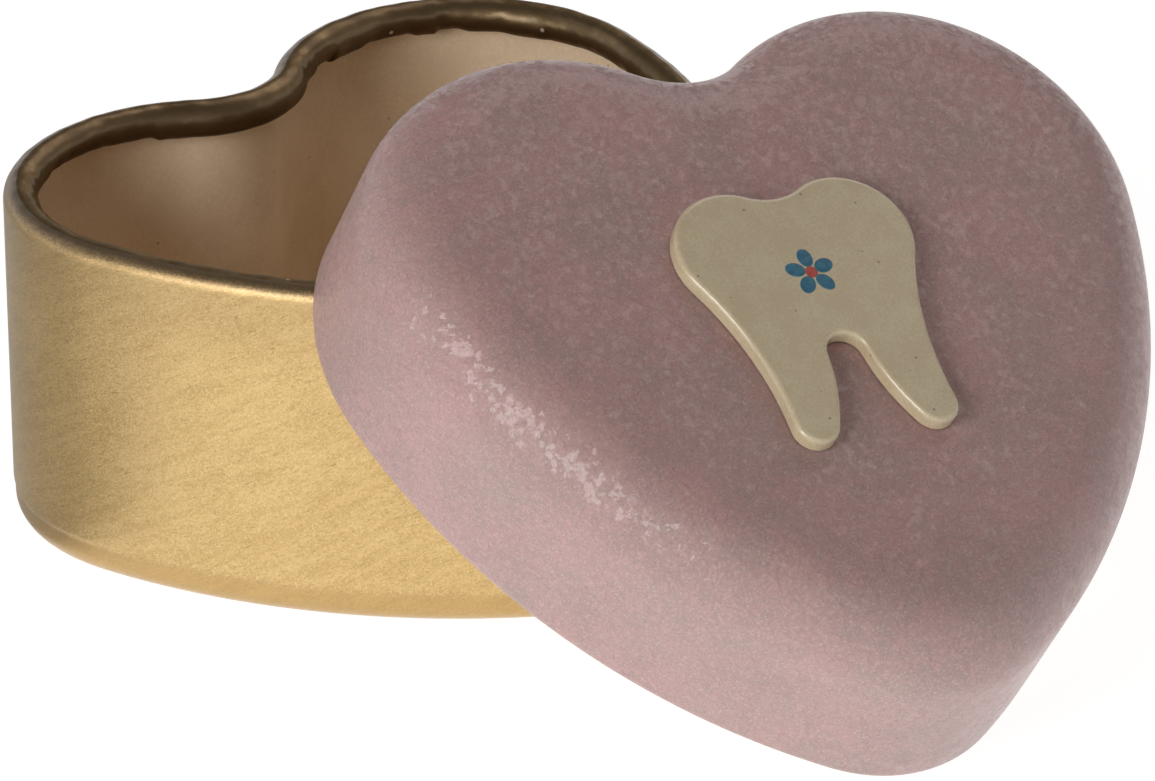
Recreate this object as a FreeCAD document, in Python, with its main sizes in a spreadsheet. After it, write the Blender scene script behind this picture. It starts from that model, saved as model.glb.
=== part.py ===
import FreeCAD, Part

import math
import os

import Sketcher

# Heart-shaped tooth keepsake tin: a drawn base with a rolled rim, and a loose lid that carries a raised
# tooth badge. The lid is off and leans on the base: its point stands on the table and its skirt rests on
# the base's rim. Millimetres and degrees. +Z is up, the origin is the middle of the base's underside, the
# heart's notch is towards +Y and its point towards -Y.

# Driving dimensions
DIMENSIONS = {
    # Heart outline of the lid's outside: lobes, the notch between them, the point and the long sides
    "lobe_offset": 13.2,
    "lobe_radius": 16.55,
    "notch_radius": 8.0,
    "tip_drop": 25.95,
    "tip_radius": 11.9,
    "side_radius": 50.2,
    # Sheet of both shells, and the gap between the lid's rolled edge and the base's wall
    "sheet_gauge": 0.3,
    "fit_gap": 0.25,
    # Lid
    "lid_height": 16.3,
    "lid_shoulder_radius": 5.9,
    "lid_curl_radius": 0.9,
    "lid_curl_turn": 275.0,
    # Base
    "base_height": 26.0,
    "base_notch_radius": 6.3,
    "base_corner_radius": 1.6,
    "rim_curl_radius": 1.25,
    "rim_curl_turn": 285.0,
    # Badge outline: crown lobes with a shallow dip, a waist, and two roots with an arch between their flanks
    "crown_offset": 4.3,
    "crown_radius": 4.85,
    "dip_radius": 4.5,
    "waist_radius": 24.0,
    "root_offset": 4.7,
    "root_drop": 14.2,
    "root_radius": 1.65,
    "flank_radius": 16.0,
    "arch_drop": 9.2,
    "arch_radius": 1.5,
    "badge_thickness": 1.1,
    "badge_edge_radius": 0.4,
    # Badge seat on the lid's top, from the middle between the heart's lobes, and the glue under it
    "badge_side": -1.1,
    "badge_drop": 4.7,
    "glue_thickness": 0.12,
    "glue_inset": 0.5,
    # Lean of the lid: the way it slopes, its own turn, and its place before and beside the base's lobes
    "lean_heading": -10.1,
    "lid_turn": -7.6,
    "lean_reach": 32.75,
    "lean_side": 8.9,
    # Gaps that the leaning lid keeps to the table and to the base
    "table_gap": 0.05,
    "rest_gap": 0.3,
}

# Sizes that follow from the driving ones, as sheet formulas
DERIVED = {
    "base_inset": "=2 * lid_curl_radius + fit_gap",
    "base_lobe_radius": "=lobe_radius - base_inset",
    "base_tip_radius": "=tip_radius - base_inset",
    "base_side_radius": "=side_radius - base_inset",
    "heart_middle": "=(tip_drop + tip_radius - lobe_radius) / 2",
    "lid_skirt": "=lid_height - lid_curl_radius",
    "lid_curl_bore": "=lid_curl_radius - sheet_gauge",
    "lid_curl_reach": "=tip_drop + tip_radius - lid_curl_radius",
    "base_wall": "=base_height - rim_curl_radius",
    "rim_curl_bore": "=rim_curl_radius - sheet_gauge",
    "rim_curl_reach": "=tip_drop + base_tip_radius - rim_curl_radius",
    "glue_crown_radius": "=crown_radius - glue_inset",
    "glue_dip_radius": "=dip_radius + glue_inset",
    "glue_waist_radius": "=waist_radius + glue_inset",
    "glue_root_radius": "=root_radius - glue_inset",
    "glue_flank_radius": "=flank_radius - glue_inset",
    "glue_arch_radius": "=arch_radius + glue_inset",
}

# Radii that draw each outline, in the order of its arcs
LID_RADII = ("lobe_radius", "notch_radius", "tip_radius", "side_radius")
BASE_RADII = ("base_lobe_radius", "base_notch_radius", "base_tip_radius", "base_side_radius")
TOOTH_RADII = ("crown_radius", "dip_radius", "waist_radius", "root_radius", "flank_radius", "arch_radius")

# Search settings: where the lid's tilt starts and its steps in degrees, points along the lid's edge, and
# how near counts as the same height
STEEPEST_TILT = 50.0
TILT_STEP = 1.0
FINER_STEPS = 12
SEAT_POINTS = 720
SAME_HEIGHT = 1e-4

UP = FreeCAD.Vector(0, 0, 1)
ACROSS = FreeCAD.Vector(1, 0, 0)
FORWARD = FreeCAD.Vector(0, -1, 0)
LEFT = -1
RIGHT = 1

# The sketcher's numbers for its own axes and origin, and for an arc's ends and middle
X_AXIS = -1
Y_AXIS = -2
ORIGIN = (-1, 1)
START = 1
END = 2
MIDDLE = 3

doc = FreeCAD.newDocument("tooth_tin")


def make_sheet():
    """Fills the sheet of named sizes that every feature is bound to."""
    sheet = doc.addObject("Spreadsheet::Sheet", "sizes")
    rows = {**DIMENSIONS, **DERIVED}
    for row, (alias, value) in enumerate(rows.items(), start=1):
        sheet.set(f"A{row}", alias)
        sheet.set(f"B{row}", str(value))
        sheet.setAlias(f"B{row}", alias)
    doc.recompute()
    return sheet


SHEET = make_sheet()


def size(alias):
    """A named size as a plain number."""
    return float(SHEET.get(alias))


def bind(obj, prop, alias):
    """Ties a property of an object to a cell of the sheet."""
    obj.setExpression(prop, f"sizes.{alias}")


def new_body(label):
    """An empty body under the label that names its file."""
    body = doc.addObject("PartDesign::Body", label)
    body.Label = label
    return body


def new_sketch(body, name, role):
    """A sketch on one of the body's own origin planes."""
    sketch = body.newObject("Sketcher::SketchObject", name)
    support = next(f for f in body.Origin.OriginFeatures if f.Role == role)
    sketch.AttachmentSupport = (support, [""])
    sketch.MapMode = "FlatFace"
    return sketch


def new_feature(body, kind, name, sizes, **properties):
    """A feature at the end of the body's history, with its sizes bound to the sheet."""
    feature = body.newObject(f"PartDesign::{kind}", name)
    for prop, value in properties.items():
        setattr(feature, prop, value)
    for prop, alias in sizes.items():
        bind(feature, prop, alias)
    doc.recompute()
    return feature


def at_height(feature, kind, height):
    """Names of the feature's edges or faces that lie wholly at one height."""
    names = []
    for number, piece in enumerate(getattr(feature.Shape, f"{kind}s"), start=1):
        box = piece.BoundBox
        if abs(box.ZMin - height) < SAME_HEIGHT and abs(box.ZMax - height) < SAME_HEIGHT:
            names.append(f"{kind}{number}")
    return names


# Outlines of tangent arcs


class Arc:
    """An arc of an outline: its circle's middle, and its radius, below zero where the outline is hollow."""

    def __init__(self, x, y, radius):
        self.centre = FreeCAD.Vector(x, y, 0)
        self.radius = radius
        self.enters, self.leaves = (START, END) if radius > 0 else (END, START)

    def touch(self, after):
        """Where this arc runs on into the next one."""
        normal = (self.centre - after.centre) / (after.radius - self.radius)
        return self.centre + normal * self.radius

    def bearing(self, point):
        """The angle from the circle's middle to a point."""
        return math.atan2(point.y - self.centre.y, point.x - self.centre.x)

    def curve(self, before, after):
        """The arc between its two neighbours."""
        first = self.bearing(before.touch(self))
        last = self.bearing(self.touch(after))
        if self.radius < 0:
            first, last = last, first
        if last < first:
            last += 2 * math.pi
        return Part.ArcOfCircle(Part.Circle(self.centre, UP, abs(self.radius)), first, last)


def curves(arcs):
    """The closed run of arcs as curves, each ending where the next begins."""
    following = arcs[1:] + arcs[:1]
    return [arc.curve(arcs[k - 1], following[k]) for k, arc in enumerate(arcs)]


def meeting(first, first_reach, second, second_reach, hand):
    """The point at two given distances from two points, to the left or right of the way between them."""
    along = second - first
    span = along.Length
    forward = (span**2 + first_reach**2 - second_reach**2) / (2 * span)
    aside = math.sqrt(first_reach**2 - forward**2)
    along.normalize()
    return first + along * forward + UP.cross(along) * (-hand * aside)


def saddle(offset, radius, hollow_radius):
    """The hollow arc on the axis that joins two equal arcs from above."""
    return Arc(0, math.sqrt((radius + hollow_radius) ** 2 - offset**2), -hollow_radius)


def heart_arcs(lobe, notch, tip, side):
    """The heart from four radii, from the notch round by the left lobe and the point."""
    offset = size("lobe_offset")
    point = Arc(0, -size("tip_drop"), tip)
    lobes = {}
    sides = {}
    for hand in (LEFT, RIGHT):
        lobes[hand] = Arc(hand * offset, 0, lobe)
        middle = meeting(lobes[hand].centre, side - lobe, point.centre, side - tip, hand)
        sides[hand] = Arc(middle.x, middle.y, side)
    hollow = saddle(offset, lobe, notch)
    return [hollow, lobes[LEFT], sides[LEFT], point, sides[RIGHT], lobes[RIGHT]]


def tooth_arcs(crown, dip, waist, root, flank, arch):
    """The tooth from six radii, from the crown's dip round by the left side and the arch."""
    archway = Arc(0, -size("arch_drop"), -arch)
    halves = {}
    for hand in (LEFT, RIGHT):
        lobe = Arc(hand * size("crown_offset"), 0, crown)
        tip = Arc(hand * size("root_offset"), -size("root_drop"), root)
        outer = meeting(lobe.centre, crown + waist, tip.centre, root + waist, -hand)
        inner = meeting(tip.centre, flank - root, archway.centre, flank + arch, hand)
        halves[hand] = [lobe, Arc(outer.x, outer.y, -waist), tip, Arc(inner.x, inner.y, flank)]
    hollow = saddle(size("crown_offset"), crown, dip)
    return [hollow] + halves[LEFT] + [archway] + halves[RIGHT][::-1]


def relate(sketch, kind, *where):
    """Adds a geometric constraint to the sketch."""
    sketch.addConstraint(Sketcher.Constraint(kind, *where))


def dimension(sketch, kind, alias, *where):
    """Adds a dimension to the sketch and ties it to a named size."""
    value = math.radians(size(alias)) if kind == "Angle" else size(alias)
    index = sketch.addConstraint(Sketcher.Constraint(kind, *where, value))
    name = f"{kind}_{alias}"
    sketch.renameConstraint(index, name)
    bind(sketch, f"Constraints.{name}", alias)


def draw(sketch, arcs):
    """Draws a closed run of arcs, each tangent to the next."""
    for curve in curves(arcs):
        sketch.addGeometry(curve, False)
    for k, arc in enumerate(arcs):
        after = (k + 1) % len(arcs)
        relate(sketch, "Tangent", k, arc.leaves, after, arcs[after].enters)


def heart_sketch(body, name, lobe, notch, tip, side):
    """A heart outline whose four radii are named sizes."""
    sketch = new_sketch(body, name, "XY_Plane")
    arcs = heart_arcs(size(lobe), size(notch), size(tip), size(side))
    draw(sketch, arcs)
    hollow, left_lobe, left_side, point, right_side, right_lobe = range(len(arcs))
    relate(sketch, "Equal", left_lobe, right_lobe)
    relate(sketch, "Equal", left_side, right_side)
    relate(sketch, "Symmetric", left_lobe, MIDDLE, right_lobe, MIDDLE, Y_AXIS)
    relate(sketch, "PointOnObject", right_lobe, MIDDLE, X_AXIS)
    relate(sketch, "PointOnObject", point, MIDDLE, Y_AXIS)
    dimension(sketch, "DistanceX", "lobe_offset", *ORIGIN, right_lobe, MIDDLE)
    dimension(sketch, "DistanceY", "tip_drop", point, MIDDLE, *ORIGIN)
    for alias, arc in ((lobe, right_lobe), (notch, hollow), (tip, point), (side, right_side)):
        dimension(sketch, "Radius", alias, arc)
    return sketch


def tooth_sketch(body, name, crown, dip, waist, root, flank, arch):
    """A tooth outline whose six radii are named sizes."""
    sketch = new_sketch(body, name, "XY_Plane")
    arcs = tooth_arcs(size(crown), size(dip), size(waist), size(root), size(flank), size(arch))
    draw(sketch, arcs)
    hollow, *left, archway = range(len(arcs) // 2 + 1)
    right = range(len(arcs) - 1, archway, -1)
    for left_arc, right_arc in zip(left, right):
        relate(sketch, "Equal", left_arc, right_arc)
    lobe, outer, tip, inner = right
    for left_arc, right_arc in ((left[0], lobe), (left[2], tip)):
        relate(sketch, "Symmetric", left_arc, MIDDLE, right_arc, MIDDLE, Y_AXIS)
    relate(sketch, "PointOnObject", lobe, MIDDLE, X_AXIS)
    relate(sketch, "PointOnObject", archway, MIDDLE, Y_AXIS)
    dimension(sketch, "DistanceX", "crown_offset", *ORIGIN, lobe, MIDDLE)
    dimension(sketch, "DistanceX", "root_offset", *ORIGIN, tip, MIDDLE)
    dimension(sketch, "DistanceY", "root_drop", tip, MIDDLE, *ORIGIN)
    dimension(sketch, "DistanceY", "arch_drop", archway, MIDDLE, *ORIGIN)
    radii = {crown: lobe, dip: hollow, waist: outer, root: tip, flank: inner, arch: archway}
    for alias, arc in radii.items():
        dimension(sketch, "Radius", alias, arc)
    return sketch


def curl_sketch(body, name, reach, height, radius, bore, turn, rising):
    """The section of a rolled edge at the heart's point: the sheet bent inwards by a named turn."""
    sketch = new_sketch(body, name, "YZ_Plane")
    centre = FreeCAD.Vector(-size(reach), size(height), 0)
    sweep = math.radians(size(turn))
    first, last = (math.pi - sweep, math.pi) if rising else (math.pi, math.pi + sweep)
    outer, inner, mouth, lip = range(4)
    for alias in (radius, bore):
        sketch.addGeometry(Part.ArcOfCircle(Part.Circle(centre, UP, size(alias)), first, last), False)
    wall_end, free_end = (END, START) if rising else (START, END)
    for angle in (math.pi, first if rising else last):
        ray = FreeCAD.Vector(math.cos(angle), math.sin(angle), 0)
        line = Part.LineSegment(centre + ray * size(radius), centre + ray * size(bore))
        sketch.addGeometry(line, False)
    relate(sketch, "Coincident", outer, MIDDLE, inner, MIDDLE)
    for line, end in ((mouth, wall_end), (lip, free_end)):
        relate(sketch, "Coincident", line, START, outer, end)
        relate(sketch, "Coincident", line, END, inner, end)
        relate(sketch, "PointOnObject", outer, MIDDLE, line)
    relate(sketch, "Horizontal", mouth)
    dimension(sketch, "DistanceX", reach, outer, MIDDLE, *ORIGIN)
    dimension(sketch, "DistanceY", height, *ORIGIN, outer, MIDDLE)
    dimension(sketch, "Radius", radius, outer)
    dimension(sketch, "Radius", bore, inner)
    dimension(sketch, "Angle", turn, outer)
    return sketch


# The four pieces


def make_base():
    """The drawn base: a heart of sheet with a rounded foot and its rim rolled inwards."""
    body = new_body("base_shell")
    outline = heart_sketch(body, "base_outline", *BASE_RADII)
    block = new_feature(body, "Pad", "base_block", {"Length": "base_wall"}, Profile=outline)
    foot = (block, at_height(block, "Edge", 0))
    corner = new_feature(body, "Fillet", "base_corner", {"Radius": "base_corner_radius"}, Base=foot)
    mouth = (corner, at_height(corner, "Face", size("base_wall")))
    new_feature(body, "Thickness", "base_sheet", {"Value": "sheet_gauge"}, Base=mouth, Reversed=True)
    section = ("rim_curl_reach", "base_wall", "rim_curl_radius", "rim_curl_bore", "rim_curl_turn")
    curl = curl_sketch(body, "rim_section", *section, rising=True)
    path = (outline, [f"Edge{k}" for k in range(1, len(outline.Shape.Edges) + 1)])
    new_feature(body, "AdditivePipe", "base_rim", {}, Profile=curl, Spine=path)
    bind(body, "Placement.Base.y", "heart_middle")
    return body


def make_lid():
    """The drawn lid: a heart of sheet with a round shoulder and its lower edge rolled inwards."""
    body = new_body("lid_shell")
    outline = heart_sketch(body, "lid_outline", *LID_RADII)
    bind(outline, "AttachmentOffset.Base.z", "lid_curl_radius")
    block = new_feature(body, "Pad", "lid_block", {"Length": "lid_skirt"}, Profile=outline)
    brow = (block, at_height(block, "Edge", size("lid_height")))
    shoulder = new_feature(body, "Fillet", "lid_shoulder", {"Radius": "lid_shoulder_radius"}, Base=brow)
    mouth = (shoulder, at_height(shoulder, "Face", size("lid_curl_radius")))
    new_feature(body, "Thickness", "lid_sheet", {"Value": "sheet_gauge"}, Base=mouth, Reversed=True)
    section = ("lid_curl_reach", "lid_curl_radius", "lid_curl_radius", "lid_curl_bore", "lid_curl_turn")
    curl = curl_sketch(body, "edge_section", *section, rising=False)
    path = (outline, [f"Edge{k}" for k in range(1, len(outline.Shape.Edges) + 1)])
    new_feature(body, "AdditivePipe", "lid_edge", {}, Profile=curl, Spine=path)
    return body


def make_badge():
    """The raised tooth badge: a thick plate with a rounded top edge."""
    body = new_body("tooth_badge")
    outline = tooth_sketch(body, "tooth_outline", *TOOTH_RADII)
    plate = new_feature(body, "Pad", "tooth_plate", {"Length": "badge_thickness"}, Profile=outline)
    brow = (plate, at_height(plate, "Edge", size("badge_thickness")))
    new_feature(body, "Fillet", "tooth_edge", {"Radius": "badge_edge_radius"}, Base=brow)
    return body


def make_glue():
    """The pad of glue that holds the badge, set in from the badge's outline."""
    body = new_body("badge_adhesive")
    outline = tooth_sketch(body, "glue_outline", *(f"glue_{alias}" for alias in TOOTH_RADII))
    new_feature(body, "Pad", "glue_film", {"Length": "glue_thickness"}, Profile=outline)
    return body


# The lid's lean on the base


def heart_wire(inset, lobe, notch, tip, side, height):
    """The heart set in from the named radii, at a height, as a closed wire."""
    arcs = heart_arcs(size(lobe) - inset, size(notch) + inset, size(tip) - inset, size(side) - inset)
    wire = Part.Wire([curve.toShape() for curve in curves(arcs)])
    wire.translate(UP * height)
    return wire


def placed(shape, pose):
    """A copy of a shape moved to a pose."""
    moved = shape.copy()
    moved.Placement = pose.multiply(moved.Placement)
    return moved


def lean_pose(edge, tilt):
    """The leaning lid's pose at a tilt, with the lowest point of its rolled edge just off the table."""
    heading = FreeCAD.Rotation(UP, size("lean_heading"))
    lean = FreeCAD.Rotation(ACROSS, tilt)
    turn = FreeCAD.Rotation(UP, size("lid_turn"))
    spot = heading.multVec(FORWARD * size("lean_reach") + ACROSS * size("lean_side"))
    spot.y += size("heart_middle")
    pose = FreeCAD.Placement(spot, heading.multiply(lean).multiply(turn))
    lowest = min(point.z for point in placed(edge, pose).discretize(Number=SEAT_POINTS))
    pose.Base.z = size("table_gap") + size("lid_curl_radius") - lowest
    return pose


def seat_lid(base, lid):
    """Lowers the lid from a steep tilt until it rests on the rim, a named gap short of touching."""
    edge = heart_wire(size("lid_curl_radius"), *LID_RADII, size("lid_curl_radius"))
    rim = heart_wire(size("rim_curl_radius"), *BASE_RADII, size("base_wall"))
    rim = placed(rim, base.Placement)
    edge_room = size("lid_curl_radius") + size("rest_gap")
    rim_room = size("rim_curl_radius") + size("rest_gap")

    def is_clear(tilt):
        pose = lean_pose(edge, tilt)
        edge_gap = placed(edge, pose).distToShape(base.Shape)[0]
        rim_gap = rim.distToShape(placed(lid.Shape, pose))[0]
        return edge_gap >= edge_room and rim_gap >= rim_room

    tilt = STEEPEST_TILT
    step = TILT_STEP
    if not is_clear(tilt):
        raise RuntimeError("the lid does not clear the base at its steepest tilt")
    while tilt > step and is_clear(tilt - step):
        tilt -= step
    for _ in range(FINER_STEPS):
        step /= 2
        if is_clear(tilt - step):
            tilt -= step
    return lean_pose(edge, tilt)


def place_pieces(base, lid, badge, glue):
    """Puts the lid at its lean, and the badge and its glue on the lid's top."""
    pose = seat_lid(base, lid)
    top = FreeCAD.Vector(size("badge_side"), -size("badge_drop"), size("lid_height"))
    lid.Placement = pose
    glue.Placement = pose.multiply(FreeCAD.Placement(top, FreeCAD.Rotation()))
    badge.Placement = glue.Placement.multiply(
        FreeCAD.Placement(UP * size("glue_thickness"), FreeCAD.Rotation())
    )
    doc.recompute()


def check(pieces):
    """Stops the build if a feature failed or a piece is not one sound solid."""
    for obj in doc.Objects:
        if "Invalid" in obj.State or "Error" in obj.State:
            raise RuntimeError(f"{obj.Name} failed: {obj.State}")
    for body in pieces:
        shape = body.Shape
        if shape.isNull() or not shape.isValid() or len(shape.Solids) != 1:
            raise RuntimeError(f"{body.Label} is not one sound solid")


def main():
    """Builds the four pieces, seats them and writes one file for each."""
    base = make_base()
    lid = make_lid()
    badge = make_badge()
    glue = make_glue()
    place_pieces(base, lid, badge, glue)
    pieces = (base, lid, badge, glue)
    check(pieces)
    os.makedirs("parts", exist_ok=True)
    for body in pieces:
        body.Shape.exportStep(f"parts/{body.Label}.step")
        print(body.Label, round(body.Shape.Volume, 2), len(body.Shape.Faces))
    print("lid pose", lid.Placement)


main()
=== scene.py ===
"""Dresses the heart-shaped keepsake tin: drawn shells, crimped rim, lacquers, badge and studio stage."""

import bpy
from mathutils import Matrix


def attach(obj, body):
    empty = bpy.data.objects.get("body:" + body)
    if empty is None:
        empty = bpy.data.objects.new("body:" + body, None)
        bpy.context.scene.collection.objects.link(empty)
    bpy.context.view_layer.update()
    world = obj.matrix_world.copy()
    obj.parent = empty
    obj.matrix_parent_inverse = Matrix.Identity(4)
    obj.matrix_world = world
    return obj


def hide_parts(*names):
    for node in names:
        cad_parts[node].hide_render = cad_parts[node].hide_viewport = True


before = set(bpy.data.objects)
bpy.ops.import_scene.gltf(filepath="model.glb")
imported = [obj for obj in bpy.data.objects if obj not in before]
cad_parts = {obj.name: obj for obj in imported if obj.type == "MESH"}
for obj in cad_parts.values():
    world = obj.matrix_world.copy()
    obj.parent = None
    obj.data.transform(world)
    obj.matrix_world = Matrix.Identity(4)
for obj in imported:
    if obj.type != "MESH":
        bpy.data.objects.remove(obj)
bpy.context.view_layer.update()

import logging
import math
from dataclasses import dataclass, field
from enum import IntEnum
from functools import partial, reduce
from typing import ClassVar, Sequence

import bpy
import numpy as np
from mathutils import Matrix, Vector, noise

log = logging.getLogger("tooth_tin")

MM = 0.001
SHARP_ANGLE = math.radians(42.0)
PHOTO_WIDTH = 1155.0
SENSOR_WIDTH = 36.0
CLIP_START = 0.01
FULL_TURN = 360.0
NOISE_LOW = 0.3
NOISE_HIGH = 0.7

Colour = tuple[float, float, float]
Place = tuple[float, float, float]
Socket = bpy.types.NodeSocket

WHITE: Colour = (1.0, 1.0, 1.0)


def rgba(colour: Colour) -> tuple[float, float, float, float]:
    """Gives a linear colour its full opacity."""
    return (*colour, 1.0)


def smooth_step(value: np.ndarray) -> np.ndarray:
    """Eases values from 0 to 1 with flat ends."""
    held = np.clip(value, 0.0, 1.0)
    return held * held * (3.0 - 2.0 * held)


class Zone(IntEnum):
    """The finish that a strip of a shell wears, as its material slot."""

    OUTSIDE = 0
    RIM = 1
    LINING = 2


class NodeSheet:
    """Lays out and joins the shader nodes of one material or world."""

    def __init__(self, owner: bpy.types.Material | bpy.types.World) -> None:
        """Starts an empty node tree.

        Args:
            owner: the material or world that the nodes are for.
        """
        owner.use_nodes = True
        self.tree = owner.node_tree
        self.tree.nodes.clear()

    def add(self, kind: str, inputs: dict | None = None, **settings: object) -> bpy.types.Node:
        """Adds one node and fills its inputs.

        Args:
            kind: the node's type name.
            inputs: socket name or number to a plain value or to another node's output.
            settings: the node's own properties.

        Returns:
            The new node.
        """
        node = self.tree.nodes.new(kind)
        for name, value in settings.items():
            setattr(node, name, value)
        for name, value in (inputs or {}).items():
            if isinstance(value, Socket):
                self.tree.links.new(value, node.inputs[name])
            else:
                node.inputs[name].default_value = value
        return node

    def place(self, kind: str = "Object") -> Socket:
        """Gives the place on the piece in metres, or as UV the run along the outline and up the section."""
        return self.add("ShaderNodeTexCoord").outputs[kind]

    def noise(self, where: Socket, size: float, detail: float = 2.0) -> Socket:
        """Adds soft noise of about 0.3 to 0.7, with blotches of a size in millimetres and finer layers."""
        inputs = {"Vector": where, "Scale": 1.0 / (size * MM), "Detail": detail}
        return self.add("ShaderNodeTexNoise", inputs).outputs[0]

    def cells(self, where: Socket, size: float, feature: str = "F1") -> Socket:
        """Adds a field of cells of a size in millimetres, and gives the distance in cell sizes."""
        inputs = {"Vector": where, "Scale": 1.0 / (size * MM)}
        return self.add("ShaderNodeTexVoronoi", inputs, feature=feature).outputs["Distance"]

    def grit(self, where: Socket, size: float) -> Socket:
        """Adds sandy grit of a size in millimetres, each grain with its own value from 0 to 1."""
        grains = self.cells(where, size).node.outputs["Color"]
        return self.add("ShaderNodeSeparateColor", {0: grains}).outputs[0]

    def stray(self, where: Socket, size: float, reach: Place, start: Socket) -> Socket:
        """Lets positions wander in waves of a size, as far as reach along each axis, in millimetres."""
        wave = self.noise(where, size).node.outputs[1]
        return self.vector("MULTIPLY_ADD", wave, tuple(way * MM for way in reach), start).outputs[0]

    def spread(self, value: Socket, low: float, high: float,
               to_low: float = 0.0, to_high: float = 1.0) -> Socket:
        """Maps the range from low to high smoothly onto the range from to_low to to_high."""
        inputs = {"Value": value, "From Min": low, "From Max": high, "To Min": to_low, "To Max": to_high}
        return self.add("ShaderNodeMapRange", inputs, interpolation_type="SMOOTHSTEP").outputs["Result"]

    def join(self, how: str, first: object, second: object) -> Socket:
        """Joins two values with one arithmetic step."""
        return self.add("ShaderNodeMath", {0: first, 1: second}, operation=how).outputs[0]

    def sum(self, *values: object) -> Socket:
        """Adds values up in their order."""
        return reduce(partial(self.join, "ADD"), values)

    def times(self, *values: object) -> Socket:
        """Multiplies values in their order."""
        return reduce(partial(self.join, "MULTIPLY"), values)

    def vector(self, how: str, *terms: object) -> bpy.types.Node:
        """Adds one step of vector arithmetic."""
        return self.add("ShaderNodeVectorMath", dict(enumerate(terms)), operation=how)

    def along(self, where: Socket, way: object) -> Socket:
        """Measures positions along a direction."""
        return self.vector("DOT_PRODUCT", where, way).outputs["Value"]

    def blend(self, share: object, first: object, second: object) -> Socket:
        """Mixes two colours, with the second one's share from 0 to 1."""
        inputs = {0: share, 6: first, 7: second}
        return self.add("ShaderNodeMix", inputs, data_type="RGBA").outputs[2]

    def tint(self, colour: object, paint: Colour, value: Socket, low: float, high: float,
             share: float = 1.0) -> Socket:
        """Lays a paint over a colour: none where the value is low, its full share where it is high."""
        return self.blend(self.spread(value, low, high, 0.0, share), colour, rgba(paint))

    def bump(self, height: Socket, depth: float, strength: float = 1.0) -> Socket:
        """Turns a height, of which 1 is the depth in millimetres, into a bumped normal."""
        inputs = {"Height": height, "Distance": depth * MM, "Strength": strength}
        return self.add("ShaderNodeBump", inputs).outputs["Normal"]

    def scales(self, where: Socket, size: float, slope: float) -> Socket:
        """Makes small flat scales, each tilted its own way.

        Args:
            where: the position to read.
            size: the size of one scale in millimetres.
            slope: the steepest tilt, as a rise over a run.

        Returns:
            The normal.
        """
        cell = self.cells(where, size).node.outputs
        lean = self.vector("SUBTRACT", cell["Color"], (0.5, 0.5, 0.5)).outputs[0]
        run = self.vector("SUBTRACT", where, cell["Position"]).outputs[0]
        height = self.times(self.along(run, lean), 2.0 * slope)
        return self.bump(height, 1.0 / MM)

    def background_share(self) -> Socket:
        """Tests for rays that show the background: camera, glossy and transmission rays.

        Returns:
            1 for such a ray, else 0.
        """
        path = self.add("ShaderNodeLightPath").outputs
        mirrored = self.join("MAXIMUM", path["Is Glossy Ray"], path["Is Transmission Ray"])
        return self.join("MAXIMUM", path["Is Camera Ray"], mirrored)

    def surface(self, **inputs: object) -> None:
        """Ends the tree with a principled surface.

        Args:
            inputs: socket names with underscores for blanks, and their values.
        """
        named = {name.replace("_", " "): value for name, value in inputs.items()}
        shader = self.add("ShaderNodeBsdfPrincipled", named)
        self.add("ShaderNodeOutputMaterial", {"Surface": shader.outputs[0]})


class Finish:
    """What a surface wears: a node material that is made at its first use."""

    name: str

    def material(self) -> bpy.types.Material:
        """Gives the finish's material.

        Returns:
            The material, with all its nodes.
        """
        made = bpy.data.materials.get(self.name)
        if made is None:
            made = bpy.data.materials.new(self.name)
            self.paint(NodeSheet(made))
        return made

    def paint(self, sheet: NodeSheet) -> None:
        """Lays out the finish's nodes on an empty sheet."""
        raise NotImplementedError


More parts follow.
